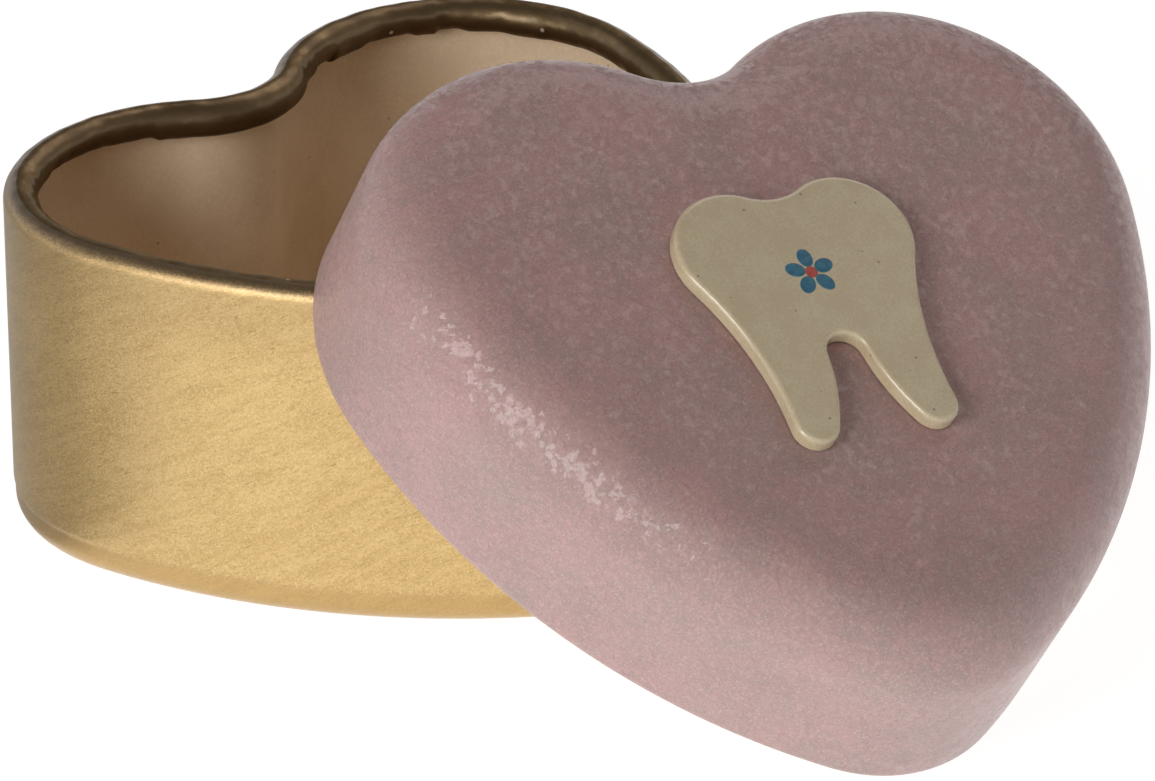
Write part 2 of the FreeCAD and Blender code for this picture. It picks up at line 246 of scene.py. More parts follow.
@dataclass(frozen=True)
class GoldLacquer(Finish):
    """Gold lacquer over tin plate: grainy and flecked, with painted shade round the foot and towards the
    rim, fading to bronze at the rim partly as painted reflection.
    """

    name: str = "gold_lacquer_finish"
    gold: Colour = (0.60, 0.395, 0.155)
    pale_gold: Colour = (0.72, 0.500, 0.215)
    glint: Colour = (0.84, 0.640, 0.340)
    fleck: Colour = (0.30, 0.185, 0.070)
    # Painted shade colour for the band round the foot.
    thin_ink_and_foot_shade: Colour = (0.52, 0.325, 0.120)
    # Bronze for the rim fade and for the upper wall's painted shade.
    bronze: Colour = (0.195, 0.130, 0.066)
    edge_tint: Colour = (0.94, 0.95, 1.00)
    fleck_angle: float = -28.0
    fleck_length: float = 0.75
    fleck_width: float = 0.11
    wander: float = 2.5
    wander_reach: float = 1.2
    band: float = 0.7
    cloud: float = 5.0
    speck_pitch: float = 1.7
    grain: float = 0.13
    sand: float = 0.12
    foot_low: float = 2.3
    foot_high: float = 2.9
    foot_shade_share: float = 0.6
    # Painted shade on the upper wall, from this height up to the rim fade.
    upper_shade_low: float = 18.0
    upper_shade_share: float = 0.17
    # The fade into bronze: partly the rim's own colour, partly painted reflection.
    fade_low: float = 24.72
    fade_high: float = 25.96
    fade_grain: float = 0.45

    def paint(self, sheet: NodeSheet) -> None:
        """Lays out the finish.

        Args:
            sheet: the empty sheet to fill.
        """
        place = sheet.place()
        reach = (self.wander_reach, self.wander_reach, 0.0)
        strayed = sheet.stray(place, self.wander, reach, sheet.place("UV"))
        turned = sheet.add("ShaderNodeMapping", {
            "Vector": strayed,
            "Rotation": (0.0, 0.0, math.radians(self.fleck_angle)),
            "Scale": (self.fleck_length / self.fleck_width, 1.0, 1.0),
        }, vector_type="TEXTURE").outputs[0]
        flecks = sheet.noise(turned, self.fleck_width, 3.0)
        grain = sheet.noise(place, self.grain)
        clouds = sheet.noise(place, self.cloud)
        bands = sheet.noise(turned, self.band)
        tone = sheet.sum(flecks, sheet.times(grain, 1.2), sheet.times(clouds, 0.6), bands)
        colour = sheet.tint(rgba(self.gold), self.pale_gold, tone, 1.62, 2.18)
        sand = sheet.grit(place, self.sand)
        colour = sheet.tint(colour, self.glint, sand, 0.65, 1.0, 0.42)
        colour = sheet.tint(colour, self.fleck, sand, 0.30, 0.0, 0.22)
        colour = sheet.tint(colour, self.fleck, flecks, 0.38, 0.28, 0.50)
        colour = sheet.tint(colour, self.fleck, sheet.cells(place, self.speck_pitch), 0.07, 0.04, 0.5)
        height = sheet.add("ShaderNodeSeparateXYZ", {0: place}).outputs["Z"]
        ragged = sheet.sum(height, sheet.times(sand, self.fade_grain * MM))
        middle = self.fade_grain / 2.0
        # Painted shade: a darker band round the foot stands in for the contact shade that the bottom corner
        # mirrors.
        low, high = (self.foot_low + middle) * MM, (self.foot_high + middle) * MM
        colour = sheet.tint(colour, self.thin_ink_and_foot_shade, ragged, high, low, self.foot_shade_share)
        # Painted shade: the upper wall darkens a little towards the rim.
        low, high = self.upper_shade_low * MM, self.fade_low * MM
        colour = sheet.tint(colour, self.bronze, height, low, high, self.upper_shade_share)
        # Fades into the rim's bronze over the upper curl: partly the rim's own colour, partly painted
        # reflection of the dim surroundings that the curl mirrors, set low enough to dull the curl's
        # highlight.
        low, high = (self.fade_low + middle) * MM, (self.fade_high + middle) * MM
        colour = sheet.tint(colour, self.bronze, ragged, low, high)
        rough = sheet.spread(grain, NOISE_LOW, NOISE_HIGH, 0.36, 0.48)
        relief = sheet.sum(sheet.times(flecks, 0.6), grain)
        sheet.surface(Base_Color=colour, Metallic=0.85, Roughness=rough, Specular_Tint=rgba(self.edge_tint),
                      Sheen_Weight=0.28, Sheen_Roughness=0.40, Coat_Weight=0.35, Coat_Roughness=0.28,
                      Normal=sheet.bump(relief, depth=0.03, strength=0.6))


@dataclass(frozen=True)
class BronzeRim(Finish):
    """The rolled rim, where the lacquer is rubbed down to dark bronze, with painted shade deepening towards
    the cut edge under the roll and a few painted highlight spots.
    """

    crest: float
    name: str = "bronze_rim_finish"
    bronze: Colour = (0.205, 0.138, 0.070)
    deep: Colour = (0.135, 0.088, 0.043)
    worn: Colour = (0.46, 0.335, 0.170)
    # Painted shade colour for the underside of the roll.
    roll_shade: Colour = (0.090, 0.058, 0.029)
    # Painted highlight colour for the rim's small bright spots.
    painted_glint: Colour = (0.85, 0.78, 0.66)
    edge_tint: Colour = (0.52, 0.46, 0.38)
    roll_shade_from: float = 0.3
    roll_shade_full: float = 2.4
    roll_shade_stray: float = 0.9
    roll_shade_share: float = 0.8
    painted_glint_pitch: float = 3.4
    patch: float = 2.2
    dimple: float = 0.9
    grain: float = 0.18

    def paint(self, sheet: NodeSheet) -> None:
        """Lays out the finish.

        Args:
            sheet: the empty sheet to fill.
        """
        place = sheet.place()
        patches = sheet.noise(place, self.patch, 3.0)
        grain = sheet.noise(place, self.grain)
        colour = sheet.tint(rgba(self.deep), self.bronze, patches, 0.30, 0.66)
        wear = sheet.sum(patches, sheet.times(grain, 0.3))
        colour = sheet.tint(colour, self.worn, wear, 0.68, 0.95, 0.30)
        # Painted shade: the roll darkens from past its crest towards the cut edge underneath.
        climb = sheet.add("ShaderNodeSeparateXYZ", {0: sheet.place("UV")}).outputs["Y"]
        under = sheet.sum(climb, sheet.times(patches, self.roll_shade_stray * MM))
        first = self.crest + self.roll_shade_stray / 2.0
        low, high = (first + self.roll_shade_from) * MM, (first + self.roll_shade_full) * MM
        colour = sheet.tint(colour, self.roll_shade, under, low, high, self.roll_shade_share)
        # Painted highlights: a few small bright spots scattered on the rim.
        colour = sheet.tint(colour, self.painted_glint, sheet.cells(place, self.painted_glint_pitch), 0.06, 0.035, 0.8)
        rough = sheet.spread(patches, NOISE_LOW, NOISE_HIGH, 0.48, 0.36)
        relief = sheet.sum(sheet.noise(place, self.dimple, 3.0), sheet.times(grain, 0.3))
        sheet.surface(Base_Color=colour, Metallic=0.9, Roughness=rough, Specular_Tint=rgba(self.edge_tint),
                      Coat_Weight=0.2, Coat_Roughness=0.14,
                      Normal=sheet.bump(relief, depth=0.06, strength=0.6))


@dataclass(frozen=True)
class LiningPaint(Finish):
    """Matte beige paint on the inner side of the sheet."""

    name: str = "lining_paint_finish"
    beige: Colour = (0.89, 0.72, 0.51)
    shade: Colour = (0.82, 0.65, 0.45)
    speck: Colour = (0.26, 0.17, 0.10)
    speck_pitch: float = 2.2
    cloud: float = 4.0
    grain: float = 0.3

    def paint(self, sheet: NodeSheet) -> None:
        """Lays out the finish.

        Args:
            sheet: the empty sheet to fill.
        """
        place = sheet.place()
        grain = sheet.noise(place, self.grain, 3.0)
        clouds = sheet.noise(place, self.cloud)
        colour = sheet.tint(rgba(self.shade), self.beige, sheet.sum(grain, clouds), 0.8, 1.25)
        colour = sheet.tint(colour, self.speck, sheet.cells(place, self.speck_pitch), 0.06, 0.035, 0.6)
        rough = sheet.spread(grain, NOISE_LOW, NOISE_HIGH, 0.55, 0.72)
        sheet.surface(Base_Color=colour, Roughness=rough, Specular_IOR_Level=0.35,
                      Normal=sheet.bump(grain, depth=0.02, strength=0.4))


@dataclass(frozen=True)
class PinkLacquer(Finish):
    """Dusty pink lacquer with a fine grain and dark crackle, under varnish dried in small tilted scales."""

    name: str = "pink_lacquer_finish"
    pink: Colour = (0.545, 0.312, 0.300)
    pale: Colour = (0.620, 0.430, 0.410)
    grey: Colour = (0.425, 0.285, 0.264)
    dusk: Colour = (0.515, 0.345, 0.310)
    crack: Colour = (0.300, 0.185, 0.180)
    peel: float = 0.75
    pore: float = 0.17
    sand: float = 0.13
    mottle: float = 0.9
    drift: float = 4.5
    cloud: float = 6.0
    bend: float = 0.6
    bend_reach: float = 0.35
    scale_size: float = 0.46
    scale_slope: float = 0.17

    def paint(self, sheet: NodeSheet) -> None:
        """Lays out the finish.

        Args:
            sheet: the empty sheet to fill.
        """
        place = sheet.place()
        pores = sheet.noise(place, self.pore)
        mottle = sheet.noise(place, self.mottle, 3.0)
        clouds = sheet.noise(place, self.cloud)
        bent = sheet.stray(place, self.bend, (self.bend_reach, self.bend_reach, self.bend_reach), place)
        peel = sheet.cells(bent, self.peel, "SMOOTH_F1")
        veins = sheet.cells(bent, self.peel * 1.3, "DISTANCE_TO_EDGE")
        tone = sheet.sum(sheet.times(pores, 1.5), mottle, clouds)
        colour = sheet.tint(rgba(self.grey), self.pink, tone, 1.40, 2.10)
        colour = sheet.tint(colour, self.dusk, sheet.noise(place, self.drift, 3.0), 0.44, 0.64, 0.22)
        sand = sheet.grit(place, self.sand)
        colour = sheet.tint(colour, self.pale, sand, 0.70, 1.0, 0.50)
        colour = sheet.tint(colour, self.crack, sand, 0.25, 0.0, 0.30)
        broken = sheet.spread(mottle, 0.45, 0.62, 0.0, 0.30)
        vein = sheet.times(sheet.spread(veins, 0.09, 0.0), broken)
        colour = sheet.blend(vein, colour, rgba(self.crack))
        skin = sheet.sum(peel, mottle, sheet.times(pores, 0.4))
        rough = sheet.spread(mottle, NOISE_LOW, NOISE_HIGH, 0.66, 0.52)
        sheet.surface(Base_Color=colour, Roughness=rough, Specular_IOR_Level=0.4,
                      Sheen_Weight=0.03, Sheen_Roughness=0.30,
                      Coat_Weight=0.36, Coat_IOR=1.6, Coat_Roughness=0.10,
                      Normal=sheet.bump(skin, depth=0.07, strength=0.6),
                      Coat_Normal=sheet.scales(bent, self.scale_size, self.scale_slope))


@dataclass(frozen=True)
class CreamEnamel(Finish):
    """Cream enamel of the tooth badge, with a soft skin and small dark specks."""

    name: str = "cream_enamel_finish"
    cream: Colour = (0.73, 0.610, 0.400)
    warm: Colour = (0.655, 0.525, 0.330)
    speck: Colour = (0.17, 0.12, 0.075)
    speck_pitch: float = 1.6
    cloud: float = 2.2
    dimple: float = 0.8
    grain: float = 0.2

    def paint(self, sheet: NodeSheet) -> None:
        """Lays out the finish.

        Args:
            sheet: the empty sheet to fill.
        """
        place = sheet.place()
        grain = sheet.noise(place, self.grain)
        clouds = sheet.noise(place, self.cloud, 3.0)
        colour = sheet.tint(rgba(self.warm), self.cream, sheet.sum(grain, clouds), 0.8, 1.25)
        colour = sheet.tint(colour, self.speck, sheet.cells(place, self.speck_pitch), 0.075, 0.04, 0.75)
        rough = sheet.spread(clouds, NOISE_LOW, NOISE_HIGH, 0.42, 0.54)
        relief = sheet.sum(sheet.noise(place, self.dimple, 3.0), sheet.times(grain, 0.3))
        sheet.surface(Base_Color=colour, Roughness=rough, Coat_Weight=1.0, Coat_Roughness=0.09,
                      Normal=sheet.bump(relief, depth=0.05, strength=0.45))


@dataclass(frozen=True)
class PrintInk(Finish):
    """Opaque printing ink, a little uneven where it was dabbed on."""

    name: str
    ink: Colour
    thin_ink_and_foot_shade: Colour
    patch: float = 0.5

    def paint(self, sheet: NodeSheet) -> None:
        """Lays out the finish.

        Args:
            sheet: the empty sheet to fill.
        """
        patches = sheet.noise(sheet.place(), self.patch, 3.0)
        colour = sheet.tint(rgba(self.ink), self.thin_ink_and_foot_shade, patches, 0.35, 0.68)
        rough = sheet.spread(patches, NOISE_LOW, NOISE_HIGH, 0.42, 0.56)
        bumps = sheet.bump(patches, depth=0.02, strength=0.5)
        sheet.surface(Base_Color=colour, Roughness=rough, Normal=bumps)


@dataclass(frozen=True)
class SetGlue(Finish):
    """Set yellowish glue, seen only as a thin line under the badge."""

    name: str = "set_glue_finish"
    amber: Colour = (0.40, 0.30, 0.17)
    dull: Colour = (0.28, 0.21, 0.13)
    patch: float = 0.8

    def paint(self, sheet: NodeSheet) -> None:
        """Lays out the finish.

        Args:
            sheet: the empty sheet to fill.
        """
        patches = sheet.noise(sheet.place(), self.patch, 3.0)
        colour = sheet.tint(rgba(self.dull), self.amber, patches, 0.35, 0.65)
        sheet.surface(Base_Color=colour, Roughness=sheet.spread(patches, NOISE_LOW, NOISE_HIGH, 0.3, 0.5))


@dataclass(frozen=True)
class HeartOutline:
    """A heart of tangent arcs, in millimetres, with its notch towards +Y and its point towards -Y."""

    lobe_offset: float = 13.2
    lobe_radius: float = 16.55
    notch_radius: float = 8.0
    tip_drop: float = 25.95
    tip_radius: float = 11.9
    side_radius: float = 50.2

    def inset(self, depth: float, notch_radius: float) -> "HeartOutline":
        """Gives the heart that lies a depth inside this one, with a notch radius of its own."""
        return HeartOutline(self.lobe_offset, self.lobe_radius - depth, notch_radius, self.tip_drop,
                            self.tip_radius - depth, self.side_radius - depth)

    def side_centre(self) -> np.ndarray:
        """Finds the middle of the right side's arc, which holds the lobe and the tip inside it.

        Returns:
            The middle's X and Y.
        """
        lobe = np.array((self.lobe_offset, 0.0))
        tip = np.array((0.0, -self.tip_drop))
        lobe_reach = self.side_radius - self.lobe_radius
        tip_reach = self.side_radius - self.tip_radius
        apart = np.linalg.norm(tip - lobe)
        along = (tip - lobe) / apart
        run = (lobe_reach ** 2 - tip_reach ** 2 + apart ** 2) / (2.0 * apart)
        rise = math.sqrt(lobe_reach ** 2 - run ** 2)
        across = np.array((along[1], -along[0]))
        return lobe + run * along + rise * across

    def arcs(self) -> list[tuple[np.ndarray, float, float, float]]:
        """Lists the right half's arcs from the notch to the point.

        Returns:
            Middle, signed radius (hollow ones below zero), first and last angle of each arc.
        """
        lobe = np.array((self.lobe_offset, 0.0))
        tip = np.array((0.0, -self.tip_drop))
        reach = self.lobe_radius + self.notch_radius
        notch = np.array((0.0, math.sqrt(reach ** 2 - self.lobe_offset ** 2)))
        side = self.side_centre()
        into_lobe = math.atan2(*(lobe - notch)[::-1])
        lobe_end = math.atan2(*(lobe - side)[::-1])
        side_end = math.atan2(*(tip - side)[::-1])
        down = -math.pi / 2.0
        return [
            (notch, -self.notch_radius, down, into_lobe),
            (lobe, self.lobe_radius, into_lobe + math.pi, lobe_end),
            (side, self.side_radius, lobe_end, side_end),
            (tip, self.tip_radius, side_end, down),
        ]

    def trace(self, pitch: float) -> tuple[np.ndarray, np.ndarray, np.ndarray]:
        """Walks once round the heart, clockwise from the notch.

        Args:
            pitch: the longest step between two points.

        Returns:
            The points, their outward directions, and the way walked, with the start repeated at the end.
        """
        points: list[np.ndarray] = []
        outward: list[np.ndarray] = []
        for middle, radius, first, last in self.arcs():
            steps = max(4, math.ceil(abs(radius * (last - first)) / pitch))
            angles = np.linspace(first, last, steps + 1)[:-1]
            ray = np.stack((np.cos(angles), np.sin(angles)), axis=1)
            points.append(middle + abs(radius) * ray)
            outward.append(ray * math.copysign(1.0, radius))
        right, right_out = np.concatenate(points), np.concatenate(outward)
        point = np.array([[0.0, -self.tip_drop - self.tip_radius]])
        point_out = np.array([[0.0, -1.0]])
        mirror = np.array((-1.0, 1.0))
        left, left_out = right[:0:-1] * mirror, right_out[:0:-1] * mirror
        loop = np.concatenate((right, point, left, right[:1]))
        loop_out = np.concatenate((right_out, point_out, left_out, right_out[:1]))
        way = np.concatenate(([0.0], np.cumsum(np.linalg.norm(np.diff(loop, axis=0), axis=1))))
        return loop, loop_out, way


@dataclass
class Section:
    """A shell's section, walked with the metal on the left: how far out, how high, and its roll angle."""

    out: list[float] = field(default_factory=list)
    high: list[float] = field(default_factory=list)
    roll: list[float] = field(default_factory=list)
    zones: list[Zone] = field(default_factory=list)

    def step(self, out: float, high: float, zone: Zone, roll: float = 0.0) -> None:
        """Goes straight to a point, and the strip up to it wears the zone's finish."""
        if self.out:
            self.zones.append(zone)
        self.out.append(out)
        self.high.append(high)
        self.roll.append(roll)

    def climb(self) -> np.ndarray:
        """Gives the way walked along the section at each point."""
        return np.concatenate(([0.0], np.cumsum(np.hypot(np.diff(self.out), np.diff(self.high)))))

    def bend(self, middle: tuple[float, float], radius: float, first: float, last: float, steps: int,
             zones: Sequence[tuple[float, Zone]], rolled: bool = False) -> None:
        """Goes round an arc.

        Args:
            middle: the arc's middle, out and high.
            radius: the arc's radius.
            first: the first angle in degrees, 0 pointing out and 90 up.
            last: the last angle in degrees.
            steps: how many strips the arc has.
            zones: rising angles up to which each finish goes.
            rolled: whether the points belong to a rolled edge, and keep their angle.
        """
        for angle in np.linspace(first, last, steps + 1):
            zone = next(finish for limit, finish in zones if abs(angle) <= limit)
            turn = math.radians(angle)
            self.step(middle[0] + radius * math.cos(turn), middle[1] + radius * math.sin(turn),
                      zone, abs(angle) if rolled else 0.0)


@dataclass
class DrawnShell:
    """A shell pressed from one sheet: a section carried round a heart, closed by two flat ends."""

    outline: HeartOutline
    section: Section
    ends: tuple[Zone, Zone]
    pitch: float = 0.16

    def mesh(self, name: str, pose: Matrix, swell: "RimCrimp | None" = None) -> bpy.types.Mesh:
        """Builds the shell's mesh in the row frame.

        Args:
            name: the mesh's name.
            pose: the way from the shell's own frame, in metres, to the row frame.
            swell: the crimps of its rolled edge, if it has any.

        Returns:
            The mesh, with its finishes numbered by zone.
        """
        loop, outward, way = self.outline.trace(self.pitch)
        walk = self.section
        out, high, roll = (np.array(row) for row in (walk.out, walk.high, walk.roll))
        ring, rows = len(loop) - 1, len(out)
        outs = np.repeat(out[None, :], ring, axis=0)
        highs = np.repeat(high[None, :], ring, axis=0)
        if swell is not None:
            rise = swell.depth(way[:-1], way[-1], loop[:-1], roll)
            turns = np.radians(roll)
            outs = outs + rise * np.cos(turns)
            highs = highs + rise * np.sin(turns)
        flat = loop[:-1, None, :] + outward[:-1, None, :] * outs[:, :, None]
        spots = np.concatenate((flat, highs[:, :, None]), axis=2).reshape(-1, 3) * MM
        turn = np.array(pose)
        spots = spots @ turn[:3, :3].T + turn[:3, 3]
        faces: list[tuple[int, ...]] = [tuple(i * rows for i in range(ring))]
        slots = [int(self.ends[0])]
        climb = walk.climb()
        uvs = [tuple(loop[i] * MM) for i in range(ring)]
        for i in range(ring):
            after = (i + 1) % ring
            for j in range(rows - 1):
                faces.append((i * rows + j, i * rows + j + 1, after * rows + j + 1, after * rows + j))
                slots.append(int(walk.zones[j]))
                here, there = way[i] * MM, way[i + 1] * MM
                low, top = climb[j] * MM, climb[j + 1] * MM
                uvs += [(here, low), (here, top), (there, top), (there, low)]
        faces.append(tuple(i * rows + rows - 1 for i in reversed(range(ring))))
        slots.append(int(self.ends[1]))
        uvs += [tuple(loop[i] * MM) for i in reversed(range(ring))]
        mesh = bpy.data.meshes.new(name)
        mesh.from_pydata(spots.tolist(), [], faces)
        mesh.polygons.foreach_set("material_index", slots)
        layer = mesh.uv_layers.new(name="sheet")
        layer.data.foreach_set("uv", np.array(uvs, dtype=np.float32).ravel())
        mesh.shade_smooth()
        mesh.set_sharp_from_angle(angle=SHARP_ANGLE)
        mesh.update()
        return mesh


@dataclass(frozen=True)
class RimCrimp:
    """The crimps that a rolled rim takes where its cut edge is gathered, in millimetres and degrees."""

    seed: int = 23
    shortest: float = 1.3
    longest: float = 5.5
    steepest: float = 0.3
    gentlest: float = 1.8
    pucker: float = 0.15
    dent: float = 0.055
    dent_size: float = 1.3
    dent_stretch: float = 1.6
    dent_full_roll: float = 90.0
    from_roll: float = 140.0
    full_roll: float = 245.0

    def depth(self, way: np.ndarray, total: float, loop: np.ndarray, roll: np.ndarray) -> np.ndarray:
        """Says how far each point of the roll stands out.

        Args:
            way: the way walked along the outline at each point.
            total: the whole way round.
            loop: the outline's points.
            roll: the roll angle of each row of the section, 0 off the roll.

        Returns:
            The swelling at each point and row.
        """
        draw = np.random.default_rng(self.seed)
        cuts = np.cumsum(draw.uniform(self.shortest, self.longest, int(total / self.shortest)))
        cuts = cuts[cuts < total - self.longest]
        levels = draw.normal(0.0, self.pucker, len(cuts) + 1)
        levels[-1] = levels[0]
        slopes = draw.uniform(self.steepest, self.gentlest, len(cuts))
        edge = np.full_like(way, levels[0])
        for cut, slope, before, after in zip(cuts, slopes, levels[:-1], levels[1:]):
            edge = edge + (after - before) * smooth_step((way - cut) / slope + 0.5)
        gather = smooth_step((roll - self.from_roll) / (self.full_roll - self.from_roll))
        rise = edge[:, None] * gather[None, :]
        soft = smooth_step(roll / self.dent_full_roll)
        for j, angle in enumerate(roll):
            if angle <= 0.0:
                continue
            lift = math.radians(angle)
            for i, (x, y) in enumerate(loop):
                spot = Vector((x, y, self.dent_stretch * lift)) / self.dent_size
                rise[i, j] += self.dent * soft[j] * noise.noise(spot)
        return rise


@dataclass
class BaseTin:
    """The gold base: floor, upright wall and rim rolled inwards, all one sheet."""

    body: ClassVar[str] = "base"
    node: ClassVar[str] = "base_shell"
    slot: ClassVar[str] = "gold_lacquer"
    inset: float = 2.05
    notch_radius: float = 6.3
    height: float = 26.0
    gauge: float = 0.3
    corner_radius: float = 1.6
    foot_step: float = 0.12
    foot_low: float = 2.3
    foot_high: float = 2.9
    rim_radius: float = 1.25
    rim_turn: float = 285.0
    rim_crest: float = 90.0
    rim_finish_from: float = 82.0

    def section(self) -> Section:
        """Walks from the underside up the wall, round the rim and down inside.

        Returns:
            The section.
        """
        walk = Section()
        corner = (-self.corner_radius, self.corner_radius)
        foot = (corner[0] - self.foot_step, corner[1])
        curl = (-self.rim_radius, self.height - self.rim_radius)
        plain = [(FULL_TURN, Zone.OUTSIDE)]
        lining = [(FULL_TURN, Zone.LINING)]
        bead = [(self.rim_finish_from, Zone.OUTSIDE), (FULL_TURN, Zone.RIM)]
        walk.step(-self.corner_radius - self.gauge, 0.0, Zone.OUTSIDE)
        walk.bend(foot, self.corner_radius, -90.0, 0.0, 10, plain)
        for share in np.linspace(0.0, 1.0, 7):
            walk.step(self.foot_step * (float(smooth_step(share)) - 1.0),
                      self.foot_low + share * (self.foot_high - self.foot_low), Zone.OUTSIDE)
        for share in (0.2, 0.4, 0.6, 0.8, 0.95):
            walk.step(0.0, self.foot_high + share * (curl[1] - self.foot_high), Zone.OUTSIDE)
        walk.bend(curl, self.rim_radius, 0.0, self.rim_turn, 44, bead, rolled=True)
        walk.bend(curl, self.rim_radius - self.gauge, self.rim_turn, 0.0, 16, lining, rolled=True)
        for share in (0.9, 0.7, 0.5, 0.3, 0.1):
            walk.step(-self.gauge, corner[1] + share * (curl[1] - corner[1]), Zone.LINING)
        walk.bend(corner, self.corner_radius - self.gauge, 0.0, -90.0, 8, lining)
        walk.step(-self.corner_radius - self.gauge, self.gauge, Zone.LINING)
        return walk

    def middle(self, lid_heart: HeartOutline) -> float:
        """Says how far the heart's own origin stands from the middle of the underside."""
        return (lid_heart.tip_drop + lid_heart.tip_radius - lid_heart.lobe_radius) / 2.0

    def build(self, lid_heart: HeartOutline) -> list[bpy.types.Object]:
        """Builds and dresses the base.

        Args:
            lid_heart: the lid's outline, inside which the base fits.

        Returns:
            The pieces made.
        """
        walk = self.section()
        crest = next(way for way, roll in zip(walk.climb(), walk.roll) if roll >= self.rim_crest)
        heart = lid_heart.inset(self.inset, self.notch_radius)
        shell = DrawnShell(heart, walk, (Zone.OUTSIDE, Zone.LINING))
        pose = Matrix.Translation((0.0, self.middle(lid_heart) * MM, 0.0))
        mesh = shell.mesh("drawn_base", pose, RimCrimp())
        finishes = [GoldLacquer(), BronzeRim(float(crest)), LiningPaint()]
        return [fit_piece(mesh, self.body, [self.node], finishes)]


@dataclass
class LeaningPose:
    """How the lid leans: heading, tilt and own turn in degrees, and its frame's place in millimetres."""

    heading: float = -10.1
    tilt: float = 32.3789
    turn: float = -7.6
    place: Place = (3.01882, -23.1532, 19.8551)

    def matrix(self) -> Matrix:
        """Gives the way from the lid's frame to the row frame, in metres."""
        spin = (Matrix.Rotation(math.radians(self.heading), 4, "Z")
                @ Matrix.Rotation(math.radians(self.tilt), 4, "X")
                @ Matrix.Rotation(math.radians(self.turn), 4, "Z"))
        return Matrix.Translation(Vector(self.place) * MM) @ spin


@dataclass
class LidTin:
    """The pink lid: flat crown, round shoulder, skirt and lower edge rolled inwards, all one sheet."""

    body: ClassVar[str] = "lid"
    node: ClassVar[str] = "lid_shell"
    slot: ClassVar[str] = "pink_lacquer"
    heart: HeartOutline = field(default_factory=HeartOutline)
    height: float = 16.3
    gauge: float = 0.3
    shoulder_radius: float = 5.9
    curl_radius: float = 0.9
    curl_turn: float = 275.0

    def section(self) -> Section:
        """Walks from under the crown down inside, round the rolled edge and up to the crown.

        Returns:
            The section.
        """
        walk = Section()
        shoulder = (-self.shoulder_radius, self.height - self.shoulder_radius)
        curl = (-self.curl_radius, self.curl_radius)
        plain = [(FULL_TURN, Zone.OUTSIDE)]
        lining = [(FULL_TURN, Zone.LINING)]
        walk.step(-self.shoulder_radius - self.gauge, self.height - self.gauge, Zone.LINING)
        walk.bend(shoulder, self.shoulder_radius - self.gauge, 90.0, 0.0, 16, lining)
        for share in (0.8, 0.5, 0.2):
            walk.step(-self.gauge, curl[1] + share * (shoulder[1] - curl[1]), Zone.LINING)
        walk.bend(curl, self.curl_radius - self.gauge, 0.0, -self.curl_turn, 14, lining)
        walk.bend(curl, self.curl_radius, -self.curl_turn, 0.0, 26, plain)
        for share in (0.2, 0.5, 0.8):
            walk.step(0.0, curl[1] + share * (shoulder[1] - curl[1]), Zone.OUTSIDE)
        walk.bend(shoulder, self.shoulder_radius, 0.0, 90.0, 30, plain)
        walk.step(-self.shoulder_radius - self.gauge, self.height, Zone.OUTSIDE)
        return walk

    def build(self, pose: LeaningPose) -> list[bpy.types.Object]:
        """Builds and dresses the lid.

        Args:
            pose: how the lid leans on the base.

        Returns:
            The pieces made.
        """
        shell = DrawnShell(self.heart, self.section(), (Zone.LINING, Zone.OUTSIDE))
        mesh = shell.mesh("drawn_lid", pose.matrix())
        pink = PinkLacquer()
        finishes = [pink, pink, LiningPaint("lid_lining_finish")]
        return [fit_piece(mesh, self.body, [self.node], finishes)]


